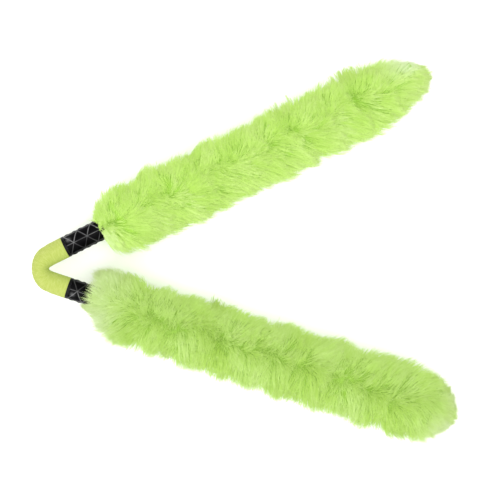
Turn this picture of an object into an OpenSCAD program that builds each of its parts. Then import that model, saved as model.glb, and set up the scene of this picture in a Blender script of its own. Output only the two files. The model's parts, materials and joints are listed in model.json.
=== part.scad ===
// Folding devil stick: two long-pile batons joined by a padded cord link.
// It lies flat on its pile. Z is up, X is the line halfway between the two batons, and the
// link is at the -X end. Baton a is on the +Y side and baton b on the -Y side.
// Millimetres. A baton is drawn along its own +X, from the link end of its grip at x = 0.

/* [Batons] */
// Length of a baton, from the link end of its grip to the tip of its pile
baton_len = 459; // [360:1:560]
// Angle between the two batons as they lie
open_angle = 44.8; // [43:0.2:60]
// Height of a baton's axis above the floor, with the pile under it pressed flat
lie_h = 36; // [32:0.5:40]

/* [Tube] */
// Outer diameter of the stiff tube inside a baton
tube_d = 19; // [17.5:0.5:22]
// Wall of the tube
tube_wall = 1.8; // [1:0.1:2]
// Distance from the end of the tube to the tip of the pile
tube_inset = 30; // [24:1:40]

/* [Grip] */
// Outer diameter of the ribbed grip
grip_d = 25; // [23.5:0.5:30]
// Length of the grip, part of it under the fur
grip_len = 62; // [50:1:80]
// Distance from rib crossing to rib crossing along the grip
rib_pitch = 16.8; // [14:0.1:21]
// Width of a rib
rib_w = 1.6; // [1:0.1:2]
// Depth of the pockets between the ribs at their middle
pocket_depth = 1.4; // [0.8:0.1:1.7]

/* [Fur] */
// Radius of the pile
pile_r = 41; // [34:0.5:42]
// Distance from the link end of the grip to the hem of the fur
hem_at = 45; // [36:1:52]
// Radius of the pile at the hem
hem_r = 29; // [22:0.5:31]
// Length over which the pile swells from the hem to its full radius
shoulder_len = 24; // [16:1:30]
// Length over which the pile tapers to its tip
taper_len = 80; // [60:1:100]
// Thickness of the cloth that the pile grows on
lining_t = 1.2; // [0.8:0.1:2]
// Width of the elastic band in the hem
band_w = 5; // [3:0.5:8]
// Thickness of the elastic band
band_t = 1.2; // [0.8:0.1:2]
// Thickness of the foam bumper over the end of the tube
bumper_t = 12; // [8:0.5:13]
// Length of the bumper's stem in the tube
stem_len = 20; // [12:1:30]

/* [Link] */
// Bend radius of the link's centreline
bend_r = 16.2; // [15:0.1:22]
// Straight length of link between the bend and a grip
leg_len = 21.4; // [18:0.1:30]
// Outer diameter of the link where it meets a grip
link_d = 24.4; // [22:0.1:27]
// Outer diameter of the link in the bend
neck_d = 21; // [18.5:0.1:22]
// Thickness of the knitted cover
cover_t = 0.9; // [0.6:0.1:1.2]
// Thickness of the cuff disc that closes each end of the padding
cuff_t = 1.5; // [1:0.1:3]

/* [Cord] */
// Diameter of the cord inside the link
cord_d = 9; // [7.5:0.1:9.6]
// Length of the stopper knot inside a baton
knot_len = 13; // [11:0.5:18]
// Thickness of the flange on the plug that carries the cord
flange_t = 3; // [2:0.5:5]
// Length of the plug inside the tube
plug_len = 14; // [10:1:20]
// Thickness of the washer that the knot bears on
washer_t = 1.5; // [1:0.1:3]

/* [Fits] */
// Radial clearance of the cord in its hole and of a cord joint in its seat
run_gap = 0.05; // [0.02:0.01:0.1]
// Gap between neighbouring bodies that don't touch
body_gap = 0.3; // [0.2:0.05:0.5]

/* [Hidden] */
$fn = 64;

black = [0.07, 0.07, 0.075];
lime = [0.75, 0.93, 0.45];
yellow_green = [0.82, 0.90, 0.43];

half_angle = open_angle / 2;
tube_r = tube_d / 2;
bore_r = tube_r - tube_wall;
grip_r = grip_d / 2;
cord_r = cord_d / 2;
tube_end = baton_len - tube_inset;
lining_r = grip_r + lining_t;
lining_end = tube_end + bumper_t + lining_t;
band_r = lining_r + band_t;

// The link bends through two quarter-steps on each side of its apex, hinge to hinge.
bend_half = 90 - half_angle;
hinge_step = bend_half / 2;
hinge_r = bend_r / cos(hinge_step / 2);
joint_len = 2 * bend_r * tan(hinge_step / 2);
hinge_back = leg_len + joint_len / 2;
leg_at = bend_r * [1 - cos(bend_half), sin(bend_half)];
grip_at = leg_at + leg_len * [cos(half_angle), sin(half_angle)];

// Walls of the link, as [radius at the neck, radius at the mouth]. The padding's bore clears
// the cord where the cord's straight joints leave the arc.
cover_wall = [neck_d / 2, link_d / 2];
padding_wall = cover_wall - [cover_t, cover_t];
pad_bore_r = cord_r + hinge_r - bend_r + body_gap;
pad_bore = [pad_bore_r, pad_bore_r];
cord_wall = [cord_r, cord_r];
leg_start = body_gap - leg_len;
padding_end = -body_gap - cuff_t;

// A leg's wall at a place along the baton, which is negative inside the link.
function leg_r(wall, place) = wall[0] + (wall[1] - wall[0]) * (place + leg_len) / leg_len;

// A cord joint's full diameter starts this far from its hinge, so that the link can fold.
shoulder_at = 0.58 * cord_r;

// Six rows of rib crossings go round the grip, each half a pitch along from the last.
rib_rows = 6;
row_angle = 360 / rib_rows;
row_gap = grip_r * row_angle * PI / 180;
pocket_floor = grip_r - pocket_depth;
pocket_count = floor(2 * (grip_len - rib_pitch / 2) / rib_pitch);

// A pocket's corners stand back from the rib crossings by these shares of a rib's width.
corner_back_along = 0.87;
corner_back_round = 0.6;

// The knot starts just past its washer.
knot_at = flange_t + plug_len + washer_t + run_gap;
knot_turns = 3;
knot_coil_r = 3;
knot_gap = 0.5;
knot_turn_r = bore_r - knot_coil_r - knot_gap;

round_steps = 6;
shoulder_steps = 8;
taper_steps = 14;
taper_power = 0.75;

// The pile's outline, as [radius, distance along the baton].
function shoulder_point(a) = [
    hem_r + (pile_r - hem_r) * sin(a),
    hem_at + shoulder_len * (1 - cos(a)),
];
function taper_point(t) = [pile_r * pow(1 - t * t, taper_power), baton_len - taper_len * (1 - t)];
pile_outline = concat(
    [for (i = [0:shoulder_steps]) shoulder_point(90 * i / shoulder_steps)],
    [for (i = [0:taper_steps]) taper_point(i / taper_steps)]
);
far_x = max([for (p = pile_outline)
    grip_at.x + p.y * cos(half_angle) + p.x * sin(half_angle)]);
near_x = -neck_d / 2;
mid_x = (far_x + near_x) / 2;

// Places a baton-long piece on side 1 (baton a) or side -1 (baton b).
module on_baton(side) {
    translate([grip_at.x - mid_x, side * grip_at.y, lie_h])
        rotate([0, 0, side * half_angle])
            children();
}

// Places a piece of the link, drawn from the centre of its bend.
module on_bend() {
    translate([bend_r - mid_x, 0, lie_h]) children();
}

// Places a cord joint whose ball is this many hinge steps from the apex, towards baton a.
module on_hinge(steps) {
    angle = steps * hinge_step;
    on_bend()
        translate([-hinge_r * cos(angle), hinge_r * sin(angle), 0])
            rotate([0, 0, hinge_step / 2 - angle - 90])
                children();
}

// Turns a piece drawn along Z to lie along the baton, from x = start.
module along(start) {
    translate([start, 0, 0]) rotate([0, 90, 0]) children();
}

module rod(r, start, end) {
    along(start) cylinder(r = r, h = end - start);
}

module pipe(r, bore, start, end) {
    along(start)
        difference() {
            cylinder(r = r, h = end - start);
            translate([0, 0, -1]) cylinder(r = bore, h = end - start + 2);
        }
}

// One triangular pocket, cut from outside to a flat floor.
module pocket(points_on) {
    side = points_on ? 1 : -1;
    along_half = rib_pitch / 2 - rib_w * corner_back_along;
    round_half = row_gap / 2 - rib_w * corner_back_round;
    translate([0, 0, pocket_floor])
        linear_extrude(grip_r)
            polygon([
                [-along_half, -side * round_half],
                [along_half, -side * round_half],
                [0, side * round_half],
            ]);
}

module grip_shape() {
    difference() {
        pipe(grip_r, tube_r, flange_t, grip_len);
        for (row = [0:rib_rows - 1], i = [0:pocket_count - 1])
            rotate([(row + 0.5) * row_angle, 0, 0])
                translate([flange_t + (i + 1) * rib_pitch / 2, 0, 0])
                    pocket((i + row) % 2 == 0);
    }
}

module end_plug_shape() {
    difference() {
        union() {
            rod(grip_r - body_gap, 0, flange_t);
            rod(bore_r, flange_t, flange_t + plug_len);
        }
        rod(cord_r + run_gap, -1, flange_t + plug_len + 1);
    }
}

module thrust_washer_shape() {
    start = flange_t + plug_len;
    pipe(bore_r - body_gap, cord_r + run_gap, start, start + washer_t);
}

module tip_bumper_shape() {
    edge = bumper_t / 2;
    rod(bore_r, tube_end - stem_len, tube_end);
    along(tube_end)
        rotate_extrude()
            polygon(concat(
                [[0, 0], [grip_r, 0]],
                [for (i = [0:round_steps])
                    let (a = 90 * i / round_steps)
                        [grip_r - edge * (1 - cos(a)), bumper_t - edge + edge * sin(a)]],
                [[0, bumper_t]]
            ));
}

module fur_lining_shape() {
    pipe(lining_r, grip_r, hem_at, lining_end - lining_t);
    rod(lining_r, lining_end - lining_t, lining_end);
}

module hem_band_shape() {
    pipe(band_r, lining_r, hem_at, hem_at + band_w);
}

module fur_cover_shape() {
    along(0)
        rotate_extrude()
            polygon(concat(
                [[band_r, hem_at]],
                pile_outline,
                [
                    [0, lining_end],
                    [lining_r, lining_end],
                    [lining_r, hem_at + band_w],
                    [band_r, hem_at + band_w],
                ]
            ));
}

// The pile on one baton, with its underside pressed flat on the floor.
module fur_cover(side) {
    color(lime)
        difference() {
            on_baton(side) fur_cover_shape();
            translate([-baton_len, -baton_len, -2 * pile_r])
                cube([2 * baton_len, 2 * baton_len, 2 * pile_r]);
        }
}

// Turns the right half of a flat outline, whose Y runs along the baton from start.
module turned(start) {
    along(start)
        rotate_extrude()
            intersection() {
                union() children();
                translate([0, -baton_len]) square([baton_len, 2 * baton_len]);
            }
}

// The outline of a ball at a hinge and the cord that leaves it.
module ball_and_cord(end) {
    circle(r = cord_r);
    translate([0, shoulder_at]) square([cord_r, end - shoulder_at]);
}

// The outline of the seat that the next ball turns in.
module ball_seat(at) {
    translate([0, at]) circle(r = cord_r + run_gap);
}

module cord_joint(steps) {
    color("white")
        on_hinge(steps)
            turned(0)
                difference() {
                    ball_and_cord(joint_len);
                    ball_seat(joint_len);
                }
}

// The leg on side a holds the first seat, and the leg on side b starts with the last ball.
module cord_leg(side) {
    leg_end = hinge_back + knot_at;
    color("white")
        on_baton(side)
            turned(-hinge_back)
                if (side > 0)
                    difference() {
                        square([cord_r, leg_end]);
                        ball_seat(0);
                    }
                else
                    ball_and_cord(leg_end);
}

module cord_knot_shape() {
    turn_gap = (knot_len - 2 * knot_coil_r) / (knot_turns - 1);
    turned(knot_at) {
        square([cord_r, knot_len + knot_coil_r]);
        for (i = [0:knot_turns - 1])
            translate([knot_turn_r, knot_coil_r + i * turn_gap]) circle(r = knot_coil_r);
    }
}

// A turned ring on a leg of the link, from start to end along the baton. Both walls are
// [radius at the neck, radius at the mouth] of a cone that runs the whole length of the leg.
module leg_ring(side, bore, wall, start, end) {
    on_baton(side)
        along(start)
            rotate_extrude()
                polygon([
                    [leg_r(bore, start), 0],
                    [leg_r(wall, start), 0],
                    [leg_r(wall, end), end - start],
                    [leg_r(bore, end), end - start],
                ]);
}

module bend_ring(bore, wall) {
    on_bend()
        rotate([0, 0, 180 - bend_half])
            rotate_extrude(angle = 2 * bend_half)
                translate([bend_r, 0])
                    difference() {
                        circle(r = wall[0]);
                        circle(r = bore[0]);
                    }
}

module cuff(side) {
    color(black) leg_ring(side, cord_wall, padding_wall, padding_end, -body_gap);
}

module link_padding_leg(side) {
    color("gray") leg_ring(side, pad_bore, padding_wall, leg_start, padding_end);
}

module link_padding_bend() {
    color("gray") bend_ring(pad_bore, padding_wall);
}

module link_cover_leg(side) {
    color(yellow_green) leg_ring(side, padding_wall, cover_wall, leg_start, -body_gap);
}

module link_cover_bend() {
    color(yellow_green) bend_ring(padding_wall, cover_wall);
}

module baton_tube(side) {
    color("ivory") on_baton(side) pipe(tube_r, bore_r, flange_t, tube_end);
}

module foam_sleeve(side) {
    color("dimgray") on_baton(side) pipe(grip_r, tube_r, grip_len, tube_end);
}

module grip(side) {
    color(black) on_baton(side) grip_shape();
}

module end_plug(side) {
    color(black) on_baton(side) end_plug_shape();
}

module thrust_washer(side) {
    color("silver") on_baton(side) thrust_washer_shape();
}

module tip_bumper(side) {
    color("dimgray") on_baton(side) tip_bumper_shape();
}

module fur_lining(side) {
    color(yellow_green) on_baton(side) fur_lining_shape();
}

module hem_band(side) {
    color(black) on_baton(side) hem_band_shape();
}

module cord_knot(side) {
    color("white") on_baton(side) cord_knot_shape();
}

baton_tube(1);  // baton_tube_a
foam_sleeve(1);  // foam_sleeve_a
grip(1);  // grip_a
end_plug(1);  // end_plug_a
thrust_washer(1);  // thrust_washer_a
tip_bumper(1);  // tip_bumper_a
fur_lining(1);  // fur_lining_a
hem_band(1);  // hem_band_a
fur_cover(1);  // fur_cover_a
cord_leg(1);  // cord_leg_a
cord_knot(1);  // cord_knot_a
cuff(1);  // cuff_a
cord_joint(1.5);  // cord_joint_a
cord_joint(0.5);  // cord_joint_mid
cord_joint(-0.5);  // cord_joint_b
link_padding_leg(1);  // link_padding_a
link_padding_bend();
link_padding_leg(-1);  // link_padding_b
link_cover_leg(1);  // link_cover_a
link_cover_bend();
link_cover_leg(-1);  // link_cover_b
cord_leg(-1);  // cord_leg_b
cord_knot(-1);  // cord_knot_b
cuff(-1);  // cuff_b
baton_tube(-1);  // baton_tube_b
foam_sleeve(-1);  // foam_sleeve_b
grip(-1);  // grip_b
end_plug(-1);  // end_plug_b
thrust_washer(-1);  // thrust_washer_b
tip_bumper(-1);  // tip_bumper_b
fur_lining(-1);  // fur_lining_b
hem_band(-1);  // hem_band_b
fur_cover(-1);  // fur_cover_b
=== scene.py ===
"""Folding devil stick: long-pile batons on ribbed black grips, joined by a padded knitted link.

Metres throughout. Each baton has its own axes: along it from the link end of its grip, outward
from its twin, and up from the floor. An angle round a baton is 0 at the top and grows outward.
"""

import json
import math

import bpy
import numpy as np
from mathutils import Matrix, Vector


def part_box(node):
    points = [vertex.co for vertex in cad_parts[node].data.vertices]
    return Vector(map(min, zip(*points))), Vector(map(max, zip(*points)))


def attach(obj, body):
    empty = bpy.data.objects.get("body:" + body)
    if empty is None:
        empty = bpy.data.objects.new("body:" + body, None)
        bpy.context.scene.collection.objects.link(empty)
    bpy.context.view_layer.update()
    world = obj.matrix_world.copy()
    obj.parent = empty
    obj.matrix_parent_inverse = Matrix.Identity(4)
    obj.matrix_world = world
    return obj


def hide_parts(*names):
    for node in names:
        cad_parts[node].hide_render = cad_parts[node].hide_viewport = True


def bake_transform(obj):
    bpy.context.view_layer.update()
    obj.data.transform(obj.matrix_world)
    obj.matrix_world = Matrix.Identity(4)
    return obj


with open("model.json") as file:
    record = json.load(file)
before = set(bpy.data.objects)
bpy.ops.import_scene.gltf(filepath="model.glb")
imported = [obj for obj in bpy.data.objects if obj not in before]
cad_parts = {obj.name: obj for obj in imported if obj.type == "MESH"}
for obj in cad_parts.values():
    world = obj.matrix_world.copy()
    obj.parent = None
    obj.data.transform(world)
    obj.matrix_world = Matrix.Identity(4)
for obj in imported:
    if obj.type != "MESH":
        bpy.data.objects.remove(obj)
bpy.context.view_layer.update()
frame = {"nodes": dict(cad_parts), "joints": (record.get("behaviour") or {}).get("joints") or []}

MM = 0.001
DEG = math.pi / 180
GOLDEN_TURN = math.pi * (3 - math.sqrt(5))
JOINTS = {joint["name"]: joint for joint in frame["joints"]}
UP = np.array([0.0, 0.0, 1.0])


# ---- Places taken from the frame ----


class Baton:
    """A baton's own axes and sizes, read from its swivel joint and its CAD nodes."""

    def __init__(self, side):
        axis = np.array(JOINTS["swivel_" + side]["axis"])
        self.side = side
        self.start = np.array(JOINTS["swivel_" + side]["pos_m"])
        self.forward = axis * np.sign(axis[0])
        self.outward = np.cross(UP, self.forward) * np.sign(self.start[1])
        self.lie_height = self.start[2]
        self.grip_r = self.radius("grip_")
        self.cloth_r = self.radius("fur_lining_")
        self.pile_r = self.radius("fur_cover_")
        self.grip_start, self.grip_end = self.span("grip_")
        self.hem, self.cloth_end = self.span("fur_lining_")

    def points(self, node):
        mesh = frame["nodes"][node + self.side].data
        flat = np.zeros(len(mesh.vertices) * 3, np.float32)
        mesh.vertices.foreach_get("co", flat)
        return flat.reshape(-1, 3) - self.start

    def span(self, node):
        along = self.points(node) @ self.forward
        return along.min(), along.max()

    def radius(self, node):
        return (self.points(node) @ self.outward).max()

    def place(self, along, out, up):
        """Points in the row frame from distances along, outward and up from the baton's axis."""
        return (
            self.start
            + along[..., None] * self.forward
            + out[..., None] * self.outward
            + up[..., None] * UP
        )


# ---- Meshes ----


def add_mesh(name, verts, quads, tris=None, uv=None):
    """A smooth mesh object from whole arrays. Faces are turned round if its volume, the sum over
    triangles of the first corner times the cross product of the others, comes out negative."""
    tris = np.zeros((0, 3), np.int64) if tris is None else tris
    corners = np.concatenate([quads[:, [0, 1, 2]], quads[:, [0, 2, 3]], tris])
    centred = verts - verts.mean(0)
    first, second, third = (centred[corners[:, k]] for k in range(3))
    if np.einsum("ij,ij->", first, np.cross(second, third)) < 0:
        quads, tris = quads[:, ::-1], tris[:, ::-1]
    loops = np.concatenate([quads.ravel(), tris.ravel()]).astype(np.int32)
    sizes = np.concatenate([np.full(len(quads), 4), np.full(len(tris), 3)]).astype(np.int32)
    mesh = bpy.data.meshes.new(name)
    mesh.vertices.add(len(verts))
    mesh.vertices.foreach_set("co", verts.astype(np.float32).ravel())
    mesh.loops.add(len(loops))
    mesh.loops.foreach_set("vertex_index", loops)
    mesh.polygons.add(len(sizes))
    mesh.polygons.foreach_set("loop_start", np.cumsum(sizes) - sizes)
    mesh.polygons.foreach_set("use_smooth", np.full(len(sizes), True))
    if uv is not None:
        layer = mesh.uv_layers.new(name="OFBake")
        layer.data.foreach_set("uv", uv[loops].astype(np.float32).ravel())
    mesh.update(calc_edges=True)
    mesh.validate()
    piece = bpy.data.objects.new(name, mesh)
    bpy.context.scene.collection.objects.link(piece)
    return piece


def grid_quads(rows, columns):
    """Quads of a grid whose rows and columns both close on themselves, like a ring's surface."""
    row, column = np.meshgrid(np.arange(rows), np.arange(columns), indexing="ij")
    below, beside = (row + 1) % rows, (column + 1) % columns
    quads = np.stack([row, below, below, row], -1) * columns
    quads += np.stack([column, column, beside, beside], -1)
    return quads.reshape(-1, 4)


def add_ring(name, surface, uv=None, crease=40):
    """A closed ring from a grid of points, profile by turn, with its corners kept sharp."""
    rows, columns = surface.shape[:2]
    uv = None if uv is None else uv.reshape(-1, 2)
    piece = add_mesh(name, surface.reshape(-1, 3), grid_quads(rows, columns), uv=uv)
    piece.data.set_sharp_from_angle(angle=crease * DEG)
    return piece


# ---- Materials ----

FUR_GLOW = 0.36
UNDER_GLOW = 0.08
KNIT_GLOW = 0.18
DYED_SPECULAR = 0.2
ROOT_SHARE = 0.34
TIP_SHARE = 0.35

KNIT_COLUMNS = 64.0
KNIT_ROWS = 60.0
STITCH_SLANT = 0.8
STITCH_GROOVE = 0.15
STREAKS = (44.0, 7.0, 1.0)
# Share of the painted light and shade on the link's outer and inner sides.
PAINTED_LIGHT_SHARE = 0.35

BRAID_TURN = 0.8
BRAID_SCALE = 170.0


def tint(red, green, blue):
    """A display colour, 0 to 255, as the linear colour that shaders take."""
    share = np.array([red, green, blue]) / 255
    linear = np.where(share > 0.04045, ((share + 0.055) / 1.055) ** 2.4, share / 12.92)
    return (*linear, 1.0)


def add_node(tree, kind, inputs=None, **settings):
    """A shader node. Each input is a plain value, or a socket that is linked to it."""
    made = tree.nodes.new("ShaderNode" + kind)
    for key, value in settings.items():
        setattr(made, key, value)
    for key, value in (inputs or {}).items():
        if isinstance(value, bpy.types.NodeSocket):
            tree.links.new(value, made.inputs[key])
        else:
            made.inputs[key].default_value = value
    return made


def add_math(tree, operation, first, second):
    return add_node(tree, "Math", {0: first, 1: second}, operation=operation).outputs[0]


def add_ramp(tree, value, stops):
    """A colour ramp through (place, colour) stops."""
    ramp = add_node(tree, "ValToRGB", {"Fac": value})
    elements = ramp.color_ramp.elements
    while len(elements) < len(stops):
        elements.new(0.5)
    for element, (place, colour) in zip(elements, stops):
        element.position = place
        element.color = colour
    return ramp.outputs["Color"]


def mix_colours(tree, share, first, second):
    mix = add_node(tree, "Mix", data_type="RGBA")
    sockets = (mix.inputs[0], mix.inputs[6], mix.inputs[7])
    for socket, value in zip(sockets, (share, first, second)):
        if isinstance(value, bpy.types.NodeSocket):
            tree.links.new(value, socket)
        else:
            socket.default_value = value
    return mix.outputs[2]


def new_material(name, roughness, **settings):
    """An empty material: its node tree and its Principled shader."""
    material = bpy.data.materials.new(name)
    material.use_nodes = True
    shader = material.node_tree.nodes["Principled BSDF"]
    shader.inputs["Roughness"].default_value = roughness
    for key, value in settings.items():
        name = key.replace("_", " ").title().replace("Ior", "IOR")
        shader.inputs[name].default_value = value
    return material, material.node_tree, shader


def object_point(tree):
    return add_node(tree, "TexCoord").outputs["Object"]


def speckle(tree, point, scale):
    noise = add_node(tree, "TexNoise", {"Vector": point, "Scale": scale, "Detail": 3.0})
    return noise.outputs["Fac"]


def add_bump(tree, shader, height, strength, distance):
    bump = add_node(tree, "Bump", {"Height": height, "Strength": strength, "Distance": distance})
    tree.links.new(bump.outputs["Normal"], shader.inputs["Normal"])


def fur_material(name, palette, tip_colour, root_colour):
    """Hair: the map's first axis picks a lock's tint, and its second runs from root to tip.

    The hair has a painted glow: it gives off a little light of its own, which lifts its shaded
    parts.
    """
    material, tree, shader = new_material(name, 0.6)
    uv = add_node(tree, "UVMap", uv_map="OFBake").outputs["UV"]
    place = add_node(tree, "SeparateXYZ", {"Vector": uv})
    lock, height = place.outputs["X"], place.outputs["Y"]
    hair = add_ramp(tree, lock, palette)
    root = add_node(tree, "MapRange", {"Value": height, "From Min": 0.0, "From Max": 0.5,
                                       "To Min": ROOT_SHARE, "To Max": 0.0})
    tip = add_node(tree, "MapRange", {"Value": height, "From Min": 0.65, "From Max": 1.0,
                                      "To Min": 0.0, "To Max": TIP_SHARE})
    colour = mix_colours(tree, root.outputs["Result"], hair, root_colour)
    colour = mix_colours(tree, tip.outputs["Result"], colour, tip_colour)
    tree.links.new(colour, shader.inputs["Base Color"])
    add_painted_glow(shader, FUR_GLOW)
    return material


def add_painted_glow(shader, glow):
    """Gives a dyed fibre a painted glow, a little light of its own that lifts its shaded parts, and
    keeps its gloss low.
    """
    shader.inputs["Specular IOR Level"].default_value = DYED_SPECULAR
    # Painted glow: the colour of the light that the fibre gives off.
    shader.inputs["Emission Color"].default_value = tint(200, 228, 118)
    shader.inputs["Emission Strength"].default_value = glow


def under_fur_material(name, deep, pale):
    """Dense under-hair: a soft mottle, and fine fuzz in its surface. The colours given to it are
    darker than the hair's, as painted shade deep in the pile, and it has a painted glow.
    """
    material = grained_material(name, deep, pale, 0.9, 900.0, 0.12 * MM)
    add_painted_glow(material.node_tree.nodes["Principled BSDF"], UNDER_GLOW)
    return material


def knit_material():
    """Fine weft knit: columns of V stitches in the map, with painted shade in their grooves, painted
    light and shade that make the link's outer side paler and its inner side a darker green, and a
    painted glow.
    """
    material, tree, shader = new_material("knitted_cover", 0.85)
    place = add_node(tree, "UVMap", uv_map="OFBake").outputs["UV"]
    axes = add_node(tree, "SeparateXYZ", {"Vector": place})
    along, around = axes.outputs["X"], axes.outputs["Y"]
    column = add_math(tree, "MULTIPLY", around, KNIT_COLUMNS)
    saw = add_math(tree, "PINGPONG", column, 1.0)
    slant = add_math(tree, "MULTIPLY", saw, STITCH_SLANT)
    row = add_math(tree, "MULTIPLY", along, KNIT_ROWS)
    slanted = add_math(tree, "ADD", row, slant)
    stitch = add_math(tree, "PINGPONG", slanted, 0.5)
    loop = add_math(tree, "MULTIPLY", stitch, 2.0)
    groove = add_math(tree, "GREATER_THAN", saw, STITCH_GROOVE)
    height = add_math(tree, "MULTIPLY", loop, groove)
    streak_place = add_node(tree, "VectorMath", {0: place, 1: STREAKS}, operation="MULTIPLY")
    streaks = speckle(tree, streak_place.outputs["Vector"], 1.0)
    yarn = add_ramp(tree, streaks, [(0.34, tint(134, 144, 62)), (0.66, tint(178, 180, 116))])
    # Painted light and shade: the link's outer side is painted paler and its inner side a darker
    # green.
    painted_light_sides = mix_colours(tree, around, tint(140, 170, 50), tint(184, 180, 108))
    colour = mix_colours(tree, PAINTED_LIGHT_SHARE, yarn, painted_light_sides)
    # Painted shade: the stitch grooves are painted a darker green.
    colour = mix_colours(tree, height, tint(136, 148, 64), colour)
    tree.links.new(colour, shader.inputs["Base Color"])
    add_bump(tree, shader, height, 0.5, 0.2 * MM)
    add_painted_glow(shader, KNIT_GLOW)
    return material


def rubber_material():
    """Moulded rubber: near black, with fine pores, and a painted highlight in grey on the ribs'
    crests.
    """
    material, tree, shader = new_material("grip_rubber", 0.32)
    point = object_point(tree)
    crest = add_node(tree, "Attribute", attribute_name="crest").outputs["Fac"]
    pores = speckle(tree, point, 1400.0)
    smudge = speckle(tree, point, 60.0)
    black = add_ramp(tree, smudge, [(0.3, tint(2, 2, 3)), (0.7, tint(9, 9, 10))])
    # Painted highlight: grey colour on the rib crests, where light glints off them.
    painted_glint = add_ramp(tree, smudge, [(0.3, tint(66, 66, 68)), (0.7, tint(142, 142, 142))])
    tree.links.new(mix_colours(tree, crest, black, painted_glint), shader.inputs["Base Color"])
    shader.inputs["Specular IOR Level"].default_value = 0.03
    add_bump(tree, shader, pores, 0.25, 0.05 * MM)
    return material


def grained_material(name, dark, light, roughness, grain, depth, **settings):
    """A plain finish with cloudy colour and a fine grain in its surface."""
    material, tree, shader = new_material(name, roughness, **settings)
    point = object_point(tree)
    cloud = speckle(tree, point, grain / 12)
    tree.links.new(add_ramp(tree, cloud, [(0.3, dark), (0.7, light)]), shader.inputs["Base Color"])
    add_bump(tree, shader, speckle(tree, point, grain), 0.4, depth)
    return material


def braid_material():
    """Braided cord: crossing bands on the surface, one strand over the next."""
    material, tree, shader = new_material("braided_cord", 0.8)
    point = object_point(tree)
    bands = []
    for turn in (BRAID_TURN, -BRAID_TURN):
        turned = add_node(tree, "Mapping", {"Vector": point, "Rotation": (0.0, 0.0, turn)})
        band = add_node(tree, "TexWave", {"Vector": turned.outputs["Vector"], "Scale": BRAID_SCALE})
        bands.append(band.outputs["Fac"])
    weave = add_math(tree, "MAXIMUM", *bands)
    colour = add_ramp(tree, weave, [(0.2, tint(190, 186, 172)), (0.8, tint(240, 238, 230))])
    tree.links.new(colour, shader.inputs["Base Color"])
    add_bump(tree, shader, weave, 0.5, 0.3 * MM)
    return material


def paint(material, *names):
    """Gives CAD nodes a material."""
    for name in names:
        for slot in frame["nodes"][name].material_slots:
            slot.material = material


# ---- Fur ----

LOCKS = 4100
HAIRS_PER_LOCK = 12
FUR_PIECES = 5

# Each lock draws a number from 0 to 1 that says where it grows. Below the first it's at the far
# end, between the second and the third it's at the parting, and above the third it's at the hem.
FAR_LOCKS, CROWN_LOCKS, HEM_LOCKS = 0.08, 0.83, 0.965

HAIR_LEAN = 22 * MM
FAR_LEAN = 0.9
COMB = 44 * DEG
COMB_RISE = 16 * DEG
LONGEST_OVER = 8 * MM
MOST_PROUD = 2.5 * MM
TEETH = 23
TOOTH = 4 * MM
DOME = 2.5 * MM
STRAY_HAIRS = 0.2
STRAY_SPREAD = 1.3
LOCK_R = 2.2 * MM
HAIR_WAVE = 0.8 * MM
HAIR_SINK = 2.5 * MM
HAIR_STATIONS = np.array([0.0, 0.36, 0.72, 1.0])
HAIR_HALF_WIDTH = np.array([0.25, 0.23, 0.16]) * MM
UNDERCOAT = 0.7
CROWN_DIP = 0.14
BULGE = 1.7 * MM


def soft_field(rng, wavelength, waves=7):
    """A smooth random field over the cloth: a sum of sine waves that run along and round it."""
    pace = 2 * math.pi / (wavelength * rng.uniform(0.6, 1.8, waves))
    turns = rng.integers(-2, 3, waves)
    phase = rng.uniform(0, 2 * math.pi, waves)
    scale = math.sqrt(2 / waves)

    def field(along, around):
        angle = np.multiply.outer(along, pace) + np.multiply.outer(around, turns) + phase
        return np.sin(angle).sum(-1) * scale

    return field


def ease(value, low, high):
    """0 below low and 1 above high, along a smooth step between."""
    share = np.clip((value - low) / (high - low), 0, 1)
    return share * share * (3 - 2 * share)


def bell(value, middle, width):
    """1 at the middle, falling off as a bell curve to 1/e at width from it."""
    return np.exp(-(((value - middle) / width) ** 2))


def between(pair, side):
    """A value between those of the inner side, 0, and the outer side, 1."""
    return pair[0] + (pair[1] - pair[0]) * side


def outer_side(around):
    """0 on the inner side of a baton, 1 on the outer side, and a half at its top and bottom."""
    return (1 + np.sin(around)) / 2


def half_turn(angle):
    """An angle brought to between half a turn back and half a turn on."""
    return (angle + math.pi) % (2 * math.pi) - math.pi


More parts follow.
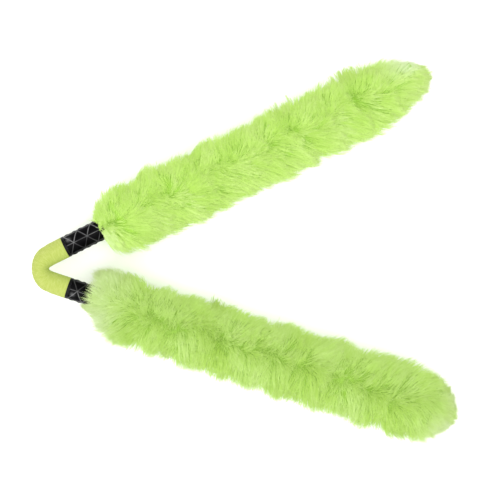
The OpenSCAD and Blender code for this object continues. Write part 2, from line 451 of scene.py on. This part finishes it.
class Pelt:
    """How one baton's pile stands: its outline, its parting, its lean and its tints."""

    def __init__(self, baton, seed, **habit):
        """Pairs in habit are for the inner and the outer side."""
        self.baton = baton
        self.rng = np.random.default_rng(seed)
        self.full_r = habit["full_r"]
        self.far_r = habit["far_r"]
        self.hem_puff = habit["hem_puff"]
        self.first, self.shoulder = habit["first"], habit["shoulder"]
        self.tips_at, self.tapers, self.blunt = habit["tips_at"], habit["tapers"], habit["blunt"]
        self.tip = max(self.tips_at)
        self.under_end = self.tip - 15 * MM
        self.sway, self.cut = habit["sway"], habit["cut"]
        self.hem_lean, self.link_lean = habit["hem_lean"], habit["link_lean"]
        self.lean = habit["lean"]
        self.tint, self.pale_hem = habit["tint"], habit["pale_hem"]
        self.pale_tip, self.pale_len = habit["pale_tip"], habit["pale_len"]
        self.ragged, self.tufts = habit["ragged"], habit["tufts"]
        self.bulge = soft_field(self.rng, 55 * MM)
        self.stray = soft_field(self.rng, 70 * MM)
        self.swirl = soft_field(self.rng, 45 * MM)
        self.cloud = soft_field(self.rng, 60 * MM)

    def parting(self, along):
        """The angle of the parting, which strays to both sides of the top."""
        return 12 * DEG * self.stray(along, 0 * along)

    def outline(self, along, around):
        """Radius of the pile: a round shoulder at the hem, a slow swell towards the far end, a
        tapered tip, its own fullness on each side, a low crown and a few broad bulges."""
        baton = self.baton
        side = outer_side(around)
        rise = np.clip((along - between(self.first, side)) / self.shoulder, 0, 1)
        past = along - between(self.tips_at, side)
        fall = np.clip(past / between(self.tapers, side) + 1, 0, 1)
        end = (1 - fall ** between(self.blunt, side)) ** 0.6
        share = np.clip((along - baton.hem) / (self.tip - baton.hem), 0, 1)
        full = between(self.full_r, side) * (1 - share) + between(self.far_r, side) * share
        full = full + between(self.hem_puff, side) * bell(along, baton.hem, 30 * MM)
        full = full * (1 - CROWN_DIP * bell(around, 0, 40 * DEG))
        full = full + BULGE * self.bulge(along, around)
        return (baton.cloth_r + (full - baton.cloth_r) * (1 - (1 - rise) ** 1.7)) * end

    def undercoat(self, along, around):
        """Radius of the dense under-hair, which always clears the cloth and closes round its end."""
        baton = self.baton
        set_back = 12 * MM - 18 * MM * ease(along, baton.hem, baton.hem + 60 * MM)
        radius = UNDERCOAT * self.outline(along - set_back, around)
        radius = np.maximum(radius, baton.cloth_r + 0.8 * MM)
        past = np.clip((along - baton.cloth_end) / (self.under_end - baton.cloth_end), 0, 1)
        return radius * np.sqrt(1 - past**2) + 0.02 * MM

    def roots(self):
        """Lock roots, on a golden spiral over the under-hair, with more at its end and along the
        parting, where hair that falls to both sides would leave it bare."""
        order = (np.arange(LOCKS) + 0.5) / LOCKS
        start, end = self.baton.hem, self.under_end
        along = start + order * (end - start) + self.rng.normal(0, 1.2 * MM, LOCKS)
        around = np.arange(LOCKS) * GOLDEN_TURN + self.rng.normal(0, 0.1, LOCKS)
        kind = self.rng.uniform(size=LOCKS)
        at_end = self.rng.uniform(end - 20 * MM, end, LOCKS)
        along = np.where(kind < FAR_LOCKS, at_end, along)
        at_hem = self.rng.uniform(start, start + 10 * MM, LOCKS)
        along = np.where(kind > HEM_LOCKS, at_hem, along)
        crown = self.parting(along) + self.rng.normal(0, 11 * DEG, LOCKS)
        around = np.where((kind > CROWN_LOCKS) & (kind < HEM_LOCKS), crown, around)
        return np.clip(along, start, end), half_turn(around)

    def tips(self, along, around):
        """Where the locks end. Hair leaves the parting sideways, and leans along the baton. Its
        tips end in uneven teeth at the far end, and the locks on that end point forward, with
        their tips spread over its whole round face."""
        baton, rng = self.baton, self.rng
        parting = self.parting(along)
        turn = half_turn(around - parting)
        side, swing = np.sign(turn), np.abs(turn)
        comb = COMB * (1 - np.exp(-swing / COMB_RISE)) * (1 - swing / math.pi) ** 1.4
        comb = comb * (1 + 0.15 * self.swirl(along, around)) * rng.uniform(0.5, 1.1, len(along))
        tip_around = parting + side * (swing + comb)
        tip_side = outer_side(tip_around)
        lean = between(self.lean, ease(np.sin(around), -0.4, 0.3))
        lean = lean + 0.2 * self.swirl(along, around + 1.0) + rng.normal(0, 0.1, len(along))
        lean = lean + self.link_lean * (1 - ease(along, baton.hem, baton.hem + 100 * MM))
        lean = lean + (FAR_LEAN - lean) * ease(along, self.tip - 110 * MM, self.tip - 20 * MM)
        hem_lean = between(self.hem_lean, outer_side(around))
        lean = hem_lean + (lean - hem_lean) * ease(along, baton.hem, baton.hem + 22 * MM)
        wisp = rng.uniform(-4 * MM, 3 * MM, len(along)) * ease(along, self.tip - 40 * MM, self.tip)
        tooth = TOOTH * np.sin(TEETH * tip_around + 2 * np.sin(5 * tip_around))
        last = between(self.tips_at, tip_side) - self.cut + tooth
        tip_along = np.minimum(along + HAIR_LEAN * lean, last) + wisp
        ragged = between(self.ragged, tip_side)
        ragged = ragged * (1 + 0.8 * ease(along, self.tip - 60 * MM, self.tip - 20 * MM))
        uneven = np.minimum(ragged * rng.normal(-0.2, 1.0, len(along)), MOST_PROUD)
        full = self.outline(tip_along, tip_around) + uneven
        stub = baton.cloth_r + rng.uniform(1.5 * MM, 5 * MM, len(along))
        full = np.where(along < baton.hem + 30 * MM, np.maximum(full, stub), full)
        spread = 1 - np.sqrt(rng.uniform(0.02, 1, len(along)))
        spread = spread * ease(along, self.under_end - 12 * MM, self.under_end - 1 * MM)
        tip_along = tip_along + DOME * (1 - (1 - spread) ** 2)
        return tip_along, tip_around, np.maximum(full * (1 - spread), 0.5 * MM)

    def lock_tints(self, along, around, full):
        """A tint from 0, deep green, to 1, nearly white, for each lock. The far end is palest on
        its rim, and the crown is a little deeper than the sides."""
        hem = self.baton.hem
        side = ease(np.sin(around), -0.5, 0.5)
        tints = between(self.tint, side)
        tints = tints + self.pale_hem * (1 - ease(along, hem - 5 * MM, hem + 45 * MM))
        rim = 0.3 + 0.7 * ease(full, 5 * MM, 15 * MM)
        pale = rim * ease(along, self.tip - self.pale_len, self.tip)
        tints = tints + between(self.pale_tip, side) * pale
        tints = tints - 0.1 * bell(around, 4 * DEG, 20 * DEG)
        return tints + 0.08 * self.cloud(along, around) + self.rng.normal(0, 0.03, len(along))

    def hairs(self):
        """Centre lines of all hairs, [hair, station, axis], each hair's tint, and its place.

        A hair comes out of the under-hair, rises fast and then levels off. Its angle round the
        baton and its place along it change slowly at first, and a little wave runs through it.
        Hairs of one lock start side by side and draw together towards the lock's tip.
        """
        rng, baton = self.rng, self.baton
        along, around = self.roots()
        tip_along, tip_around, full = self.tips(along, around)
        tints = self.lock_tints(tip_along, tip_around, full)
        lock = np.repeat(np.arange(LOCKS), HAIRS_PER_LOCK)
        count = len(lock)
        t = HAIR_STATIONS[None, :]
        spread_along = rng.normal(0, LOCK_R, count)
        spread_around = rng.normal(0, LOCK_R / (26 * MM), count)
        tufted = 1 - self.tufts * ease(-np.sin(tip_around[lock]), 0.2, 0.8)
        stray = rng.uniform(size=count) < STRAY_HAIRS
        gather = np.where(stray, STRAY_SPREAD, rng.uniform(0.35, 0.85, count) * tufted)
        first = np.clip(along[lock] + spread_along, baton.hem, self.under_end - 0.2 * MM)
        turn = around[lock] + spread_around
        sink = np.minimum(HAIR_SINK, self.undercoat(first, turn) * 0.5)
        start_r = self.undercoat(first, turn) - sink
        end_r = np.maximum(full[lock] * rng.uniform(0.82, 1.04, count), start_r * 0.6)
        pace, phase = rng.uniform(2.5, 6.0, (count, 1)), rng.uniform(0, 6.3, (count, 1))
        wave = HAIR_WAVE * np.sin(t * pace + phase) * t
        last = tip_along[lock] + spread_along * gather
        s = first[:, None] + (last - first)[:, None] * t**1.2 + wave
        end_turn = tip_around[lock] + spread_around * gather
        angle = turn[:, None] + (end_turn - turn)[:, None] * t**1.15 + wave[:, ::-1] / (30 * MM)
        r = start_r[:, None] + (end_r - start_r)[:, None] * (1 - (1 - t) ** 1.3)
        r = np.minimum(r, baton.pile_r + LONGEST_OVER)
        out, up = r * np.sin(angle), r * np.cos(angle)
        out = out + self.sway * t * ease(s, self.tip - 34 * MM, self.tip)
        up = up - 2.5 * MM * t**2 * np.abs(np.sin(angle))
        floor = rng.uniform(0.4 * MM, 1.6 * MM, (count, 1)) - baton.lie_height
        hair_tints = np.clip(tints[lock] + rng.normal(0, 0.028, count), 0.02, 0.98)
        return baton.place(s, out, np.maximum(up, floor)), hair_tints, first


def hair_mesh(name, lines, tints):
    """Hairs as closed three-sided spikes: a ring of three points at each station but the last."""
    count, stations = lines.shape[:2]
    rings = stations - 1
    forward = np.gradient(lines, axis=1)
    forward /= np.linalg.norm(forward, axis=2, keepdims=True) + 1e-12
    aside = np.roll(forward.mean(1, keepdims=True), 1, axis=2) + [0.31, -0.17, 0.23]
    across = np.cross(forward, aside)
    across /= np.linalg.norm(across, axis=2, keepdims=True) + 1e-12
    beside = np.cross(forward, across)
    turn = (np.arange(3) * 2 * math.pi / 3)[:, None]
    ring = across[:, :rings, None] * np.cos(turn) + beside[:, :rings, None] * np.sin(turn)
    ring = lines[:, :rings, None] + ring * HAIR_HALF_WIDTH[None, :rings, None, None]
    verts = np.concatenate([ring.reshape(count, -1, 3), lines[:, -1:]], axis=1)
    per_hair = rings * 3 + 1
    level = np.arange(rings - 1)[:, None] * 3
    corner = np.arange(3)
    next_corner = (corner + 1) % 3
    quads = np.stack([level + corner, level + next_corner, level + 3 + next_corner,
                      level + 3 + corner], -1).reshape(-1, 4)
    top = (rings - 1) * 3
    tris = np.stack([top + corner, top + next_corner, np.full(3, per_hair - 1)], -1)
    tris = np.concatenate([tris, [[2, 1, 0]]])
    base = np.arange(count)[:, None, None] * per_hair
    edge = np.array([-0.004, 0.0, 0.004])  # keeps the map's triangles from closing up
    lock = np.concatenate([np.tile(edge, rings), [0.0]])[None, :] + tints[:, None]
    height = np.concatenate([np.repeat(HAIR_STATIONS[:rings], 3), [1.0]])[None, :] * 0.98 + 0.01
    uv = np.stack([lock, np.broadcast_to(height, lock.shape)], -1).reshape(-1, 2)
    return add_mesh(name, verts.reshape(-1, 3), (quads[None] + base).reshape(-1, 4),
                    (tris[None] + base).reshape(-1, 3), uv)


def add_fur(pelt, hair, under):
    """The pile of one baton: a shell of under-hair, and long hair in pieces from hem to tip."""
    baton = pelt.baton
    lines, tints, places = pelt.hairs()
    order = np.argsort(places, kind="stable")
    pieces = [add_undercoat(pelt)]
    pieces[0].data.materials.append(under)
    for number, part in enumerate(np.array_split(order, FUR_PIECES), 1):
        pieces.append(hair_mesh(f"fur_{baton.side}_{number}", lines[part], tints[part]))
        pieces[-1].data.materials.append(hair)
    for piece in pieces:
        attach(piece, "baton_" + baton.side)
        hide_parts("fur_cover_" + baton.side)


def add_undercoat(pelt):
    """Under-hair as a shell over the cloth: out along its own radius, back along the cloth's."""
    baton = pelt.baton
    rows, columns = 190, 84
    inner_end = baton.cloth_end + 0.4 * MM
    out = np.linspace(baton.hem + 0.2 * MM, pelt.under_end, rows)
    back = np.array([inner_end, inner_end, baton.hem + 0.2 * MM])
    turn = np.arange(columns) * 2 * math.pi / columns
    s, angle = np.meshgrid(np.concatenate([out, back]), turn, indexing="ij")
    cloth_r = baton.cloth_r + 0.2 * MM
    inner = np.repeat([0.01 * MM, cloth_r, cloth_r], columns).reshape(3, columns)
    radius = np.concatenate([pelt.undercoat(s[:rows], half_turn(angle[:rows])), inner])
    up = np.maximum(radius * np.cos(angle), 1 * MM - baton.lie_height)
    return add_ring(f"under_fur_{baton.side}", baton.place(s, radius * np.sin(angle), up))


# ---- Grips ----

RIB_PITCH = 16.8 * MM
RIB_ROWS = 6
RIB_HALF_WIDTH = 0.4 * MM
RIB_HEIGHT = 0.65 * MM
FIRST_CROSSING = 9.0 * MM
# Painted highlights: grey on the rib crests, a share of it on the inner side, and a grey spot on a
# facet near the link.
RIB_INNER_GLINT = 0.3
FACET_GLINT_AT = 4.5 * MM
FACET_GLINT_SIZE = 2.4 * MM
FACET_GLINT_TURN = 28 * DEG
FACET_GLINT = 0.5


def line_distance(value, spacing):
    """Distance to the nearest of evenly spaced lines, one of which is at 0."""
    return np.abs((value + spacing / 2) % spacing - spacing / 2)


def add_grip(baton, material, tube_r):
    """The ribbed grip. Ribs run along it and both ways round it, so that they part its surface into
    triangles. A rib's height falls off with the distance to the nearest line, as a bell. The ribs'
    crests carry a painted highlight, strongest on the outer side, and one spot near the link has a
    painted highlight."""
    rows, columns = 150, 180
    corner = 0.8 * MM
    first, last = baton.grip_start, baton.grip_end
    along = np.linspace(first + corner, last, rows)
    around = np.arange(columns) * 2 * math.pi / columns
    s, angle = np.meshgrid(along, around, indexing="ij")
    arc = angle * baton.grip_r
    row_gap = 2 * math.pi * baton.grip_r / RIB_ROWS
    slant = math.hypot(row_gap, RIB_PITCH / 2)
    spacing = RIB_PITCH * row_gap / slant
    place = s - first - FIRST_CROSSING
    rising = (place * row_gap - arc * RIB_PITCH / 2) / slant
    falling = (place * row_gap + arc * RIB_PITCH / 2) / slant
    nearest = np.minimum(line_distance(arc, row_gap), line_distance(rising, spacing))
    nearest = np.minimum(nearest, line_distance(falling, spacing))
    crest = bell(nearest, 0, RIB_HALF_WIDTH)
    radius = baton.grip_r - RIB_HEIGHT * (1 - crest)

    def rims(*values):
        """Rows that each hold one value all the way round."""
        return np.repeat(values, columns).reshape(-1, columns)

    s = np.concatenate([rims(first, first), s, rims(last, last)])
    radius = np.concatenate([rims(tube_r, baton.grip_r - corner), radius,
                             rims(baton.grip_r - RIB_HEIGHT, tube_r)])
    angle = np.broadcast_to(around, s.shape)
    surface = baton.place(s, radius * np.sin(angle), radius * np.cos(angle))
    piece = add_ring(f"grip_sleeve_{baton.side}", surface, crease=50)
    shade = np.zeros(s.shape, np.float32)
    turn, place = angle[2:-2], s[2:-2] - first
    # Painted highlight: the crests are painted grey, brightest on the outer side, where light glints
    # off them.
    painted_glint = crest * (RIB_INNER_GLINT + (1 - RIB_INNER_GLINT) * ease(np.sin(turn), -0.25, 0.35))
    # Painted highlight: a grey spot on a facet near the link, where light glints off it.
    facet_glint = bell(place, FACET_GLINT_AT, FACET_GLINT_SIZE)
    facet_glint = facet_glint * bell(turn * baton.grip_r, FACET_GLINT_TURN * baton.grip_r, FACET_GLINT_SIZE)
    shade[2:-2] = np.maximum(painted_glint, FACET_GLINT * facet_glint)
    piece.data.attributes.new("crest", "FLOAT", "POINT").data.foreach_set("value", shade.ravel())
    piece.data.materials.append(material)
    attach(piece, "baton_" + baton.side)
    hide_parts("grip_" + baton.side)


# ---- Link ----

COVER_WALL = 0.9 * MM
END_GAP = 0.3 * MM
NOTCH_GAP = 6.45 * MM
NOTCH_SOFT = 1.2 * MM
FOAM_BORE = 5.1 * MM
FOAM_GAP = 0.15 * MM
PINCH = 2.3 * MM
PINCH_SPAN = 14 * MM
WRINKLE = 0.24 * MM
WRINKLE_WAVE = 0.5 * MM
FOLD = 0.45 * MM
FOLD_WIDTH = 2.2 * MM


class Link:
    """The bent centre line of the link. Its bend is an arc from leg to leg, at angle 0 at the
    apex and positive towards baton a, and each leg runs straight from the arc to its grip."""

    def __init__(self, baton):
        hinges = [np.array(JOINTS[f"link_bend_{k}"]["pos_m"]) for k in (1, 2, 3, 4)]
        half_joint = np.linalg.norm(hinges[1] - hinges[2]) / 2
        chord = hinges[0] - hinges[1]
        cosine = chord @ (hinges[1] - hinges[2]) / np.linalg.norm(chord) / (2 * half_joint)
        self.step = math.acos(cosine)
        self.bend_r = half_joint / math.tan(self.step / 2)
        self.half_bend = 2 * self.step
        apex = (hinges[1] + hinges[2]) / 2
        self.centre = apex + [self.bend_r, 0, 0]
        self.leg = np.linalg.norm(baton.start - hinges[0]) - half_joint - END_GAP
        self.mouth_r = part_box("link_cover_a")[1].z - baton.lie_height

    def line(self, place):
        """The centre line at each place, and the direction from it to the inside of the bend.

        A place is an angle round the arc, and past the bend the leg's length as an angle too.
        """
        turn = np.clip(place, -self.half_bend, self.half_bend)
        past = (place - turn) * self.bend_r
        inward = np.stack([np.cos(turn), -np.sin(turn), 0 * turn], -1)
        along = np.stack([np.sin(turn), np.cos(turn), 0 * turn], -1)
        return self.centre - inward * self.bend_r + along * past[..., None], inward, turn

    def bore(self, places, columns, radius):
        """A round tube's surface about the centre line."""
        around = np.arange(columns) * 2 * math.pi / columns
        place, angle = np.meshgrid(places, around, indexing="ij")
        middle, inward, _ = self.line(place)
        return middle + radius * (UP * np.sin(angle)[..., None] - inward * np.cos(angle)[..., None])

    def surface(self, places, columns, wall):
        """The knitted surface, or one that lies wall deep under it, at each of the places.

        The section is an oval. Its outer side is pinched towards the apex, and its inner side
        follows the legs' straight edges until they meet in a small round notch. Rings of fine
        wrinkles stand across the bend, deepest on the inner side, and a fold on the inner side
        marks each end of the bend.
        """
        around = np.arange(columns) * 2 * math.pi / columns
        place, angle = np.meshgrid(places, around, indexing="ij")
        middle, inward, turn = self.line(place)
        swell = self.mouth_r
        pinch = bell(place * self.bend_r, 0, PINCH_SPAN)
        outer = swell - PINCH * pinch
        edge = (self.bend_r - swell) / np.cos(self.half_bend - np.abs(turn))
        gap = np.log(np.exp(-edge / NOTCH_SOFT) + np.exp(-NOTCH_GAP / NOTCH_SOFT))
        gap = np.minimum(-NOTCH_SOFT * gap, edge)
        inner = np.where(np.abs(place) < self.half_bend, self.bend_r - gap, swell)
        share = (1 + np.cos(angle)) / 2
        side = outer * share + inner * (1 - share)
        ripple = np.sin(place * self.bend_r / WRINKLE_WAVE + 1.5 * np.sin(angle * 2)) * pinch
        crease = WRINKLE * ripple * (0.5 + 0.5 * (1 - share))
        fold = bell((np.abs(place) - 1.02 * self.half_bend) * self.bend_r, 0, FOLD_WIDTH)
        crease = crease - FOLD * fold * bell(np.sin(angle / 2), 0, 0.45)
        side = side + crease - wall
        tall = swell - 0.3 * MM * pinch + crease - wall
        flat = -inward * (side * np.cos(angle))[..., None]
        return middle + flat + UP * (tall * np.sin(angle))[..., None]


def add_stretch(link, name, first, last, material, foam=False):
    """One stretch of the knitted cover or of the foam in it, a tube with its ends closed."""
    columns, row_gap = (72, 0.9 * MM) if foam else (112, 0.3 * MM)
    rows = max(8, round(abs(last - first) * link.bend_r / row_gap))
    places = np.linspace(first, last, rows)
    if foam:
        outer = link.surface(places, columns, COVER_WALL + FOAM_GAP)
        inner = link.bore(places[::-1], columns, FOAM_BORE)
    else:
        outer = link.surface(places, columns, 0.0)
        inner = link.surface(places[::-1], columns, COVER_WALL)
    places = np.concatenate([places, places[::-1]])
    full = link.half_bend + link.leg / link.bend_r
    around = np.abs(2 * np.arange(columns) / columns - 1)
    uv = np.stack(np.meshgrid((places + full) / (2 * full), around, indexing="ij"), -1)
    piece = add_ring(name, np.concatenate([outer, inner]), None if foam else uv, crease=60)
    piece.data.materials.append(material)
    return piece, places


def bend_stretch(piece):
    """Bakes a stretch of the bend's place into its points."""
    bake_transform(piece)


def add_link(link, knit, foam):
    """The knitted cover, a leg at each end and a stretch across each hinge of the cord, and the
    bent part of the foam in it."""
    full = link.half_bend + link.leg / link.bend_r
    for side, sign in (("a", 1), ("b", -1)):
        name = f"link_knit_leg_{side}"
        piece, _ = add_stretch(link, name, sign * link.half_bend, sign * full, knit)
        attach(piece, "cord_end_" + side)
        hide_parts("link_cover_" + side)
    for k in range(4):
        first = link.half_bend - k * link.step
        last = first - link.step
        cover = add_stretch(link, f"link_knit_bend_{k + 1}", first, last, knit)
        name = f"link_foam_bend_{k + 1}"
        filling = add_stretch(link, name, first, last, foam, foam=True)
        for (piece, places), node in ((cover, "link_cover_bend"), (filling, "link_padding_bend")):
            bend_stretch(piece)
            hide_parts(node)


# ---- Camera, lights and floor ----

VIEW_WIDTH = 0.568
VIEW_CENTRE = (0.0172, 0.0051)
VIEW_ROLL = -4.08 * DEG
LENS = 160.0
SENSOR = 36.0
SKY = 1.18
KEY_ENERGY = 10
TOP_ENERGY = 26


def add_camera(height):
    """Straight above, so far that the view is VIEW_WIDTH wide at the given height."""
    camera = bpy.data.objects.new("camera", bpy.data.cameras.new("camera"))
    camera.data.lens = LENS
    camera.data.sensor_width = SENSOR
    camera.data.clip_end = 20
    camera.location = (*VIEW_CENTRE, height + VIEW_WIDTH * LENS / SENSOR)
    camera.rotation_euler = (0, 0, VIEW_ROLL)
    bpy.context.scene.collection.objects.link(camera)
    bpy.context.scene.camera = camera


def add_area_light(name, azimuth, elevation, distance, size, energy):
    """A soft square light that looks at the origin. Azimuth 0 is at -Y and grows towards +X."""
    light = bpy.data.objects.new(name, bpy.data.lights.new(name, "AREA"))
    light.data.size = size
    light.data.energy = energy
    turn, lift = azimuth * DEG, elevation * DEG
    light.location = (
        distance * math.sin(turn) * math.cos(lift),
        -distance * math.cos(turn) * math.cos(lift),
        distance * math.sin(lift),
    )
    light.rotation_euler = (math.pi / 2 - lift, 0, turn)
    bpy.context.scene.collection.objects.link(light)


def add_studio():
    """A white sky, two soft lights from above, and a pale floor."""
    world = bpy.data.worlds.new("studio")
    bpy.context.scene.world = world
    world.use_nodes = True
    background = world.node_tree.nodes["Background"]
    background.inputs["Color"].default_value = (1, 1, 1, 1)
    background.inputs["Strength"].default_value = SKY
    add_area_light("key_light", -35, 48, 1.8, 1.1, KEY_ENERGY)
    add_area_light("top_light", 0, 88, 2.2, 1.8, TOP_ENERGY)
    bpy.ops.mesh.primitive_plane_add(size=12)
    floor = bpy.context.object
    floor.name = "floor"
    white, whiter = tint(250, 250, 250), tint(254, 254, 254)
    floor.data.materials.append(grained_material("floor", white, whiter, 0.9, 40.0, 0.02 * MM))


# ---- The whole ----

FIRST_PALETTE = [
    (0.0, tint(137, 181, 48)),
    (0.2, tint(154, 192, 79)),
    (0.4, tint(167, 198, 103)),
    (0.6, tint(177, 202, 124)),
    (0.8, tint(185, 204, 154)),
    (1.0, tint(195, 204, 190)),
]
SECOND_PALETTE = [
    (0.0, tint(125, 164, 49)),
    (0.2, tint(139, 174, 74)),
    (0.4, tint(150, 181, 98)),
    (0.6, tint(160, 185, 116)),
    (0.8, tint(168, 186, 141)),
    (1.0, tint(180, 188, 174)),
]

batons = {side: Baton(side) for side in "ab"}
add_camera(batons["a"].lie_height)
add_studio()

pale_tip = tint(218, 230, 184)
deep_root = tint(154, 196, 60)
pelt_a = Pelt(
    batons["a"], seed=11,
    full_r=(42 * MM, 40 * MM), far_r=(47 * MM, 33.5 * MM), hem_puff=(0, 2 * MM),
    first=(43 * MM, 44 * MM), shoulder=24 * MM,
    tips_at=(460 * MM, 458 * MM), tapers=(80 * MM, 100 * MM), blunt=(2.0, 2.8),
    sway=-6 * MM, cut=5 * MM,
    hem_lean=(0.3, -0.05), link_lean=0.0, lean=(1.0, 0.35),
    ragged=(2.0 * MM, 1.5 * MM), tufts=0.7,
    tint=(0.48, 0.4), pale_hem=0.08, pale_tip=(0.06, 0.5), pale_len=80 * MM)
pelt_b = Pelt(
    batons["b"], seed=29,
    full_r=(34 * MM, 47 * MM), far_r=(48 * MM, 46.5 * MM), hem_puff=(5 * MM, 0),
    first=(6 * MM, 26 * MM), shoulder=30 * MM,
    tips_at=(463 * MM, 466 * MM), tapers=(64 * MM, 60 * MM), blunt=(2.4, 2.4),
    sway=0.0, cut=4 * MM,
    hem_lean=(-1.1, -1.2), link_lean=-0.9, lean=(0.35, 0.15),
    ragged=(0.9 * MM, 1.7 * MM), tufts=0.0,
    tint=(0.36, 0.3), pale_hem=0.46, pale_tip=(0.4, 0.5), pale_len=30 * MM)
# The under-hair colours are painted darker than the hair, as painted shade deep in the pile.
add_fur(pelt_a, fur_material("fur_lime", FIRST_PALETTE, pale_tip, deep_root),
        under_fur_material("under_fur_lime", tint(130, 172, 52), tint(150, 192, 76)))
add_fur(pelt_b, fur_material("fur_green_lime", SECOND_PALETTE, pale_tip, deep_root),
        under_fur_material("under_fur_green", tint(122, 160, 54), tint(140, 176, 76)))

rubber = rubber_material()
tube_r = batons["a"].radius("baton_tube_")
for baton in batons.values():
    add_grip(baton, rubber, tube_r)

backing = grained_material("fur_backing", tint(150, 200, 60), tint(170, 215, 80), 0.9, 900.0,
                           0.2 * MM)
# Painted shade: the hem band is painted near black, a dark line where the fur meets the grip.
painted_shade_band = grained_material("hem_band_painted_shade", tint(24, 28, 16), tint(52, 60, 32), 0.8, 700.0,
                           0.2 * MM)
plastic = grained_material("black_plastic", tint(8, 8, 9), tint(18, 18, 20), 0.35, 500.0,
                           0.03 * MM, specular_ior_level=0.1)
tube = grained_material("tube_plastic", tint(220, 215, 200), tint(234, 230, 218), 0.5, 400.0,
                        0.03 * MM)
foam = grained_material("foam", tint(58, 60, 64), tint(82, 84, 88), 0.95, 1200.0, 0.3 * MM)
steel = grained_material("washer_steel", tint(165, 167, 172), tint(190, 192, 196), 0.35, 900.0,
                         0.02 * MM, metallic=1.0)
add_link(Link(batons["a"]), knit_material(), foam)
paint(backing, "fur_lining_a", "fur_lining_b")
paint(painted_shade_band, "hem_band_a", "hem_band_b")
paint(plastic, "end_plug_a", "end_plug_b", "cuff_a", "cuff_b")
paint(tube, "baton_tube_a", "baton_tube_b")
paint(foam, "foam_sleeve_a", "foam_sleeve_b", "tip_bumper_a", "tip_bumper_b",
      "link_padding_a", "link_padding_bend", "link_padding_b")
paint(steel, "thrust_washer_a", "thrust_washer_b")
paint(braid_material(), "cord_leg_a", "cord_leg_b", "cord_knot_a", "cord_knot_b",
      "cord_joint_a", "cord_joint_mid", "cord_joint_b")

bpy.context.scene.view_settings.view_transform = "Standard"
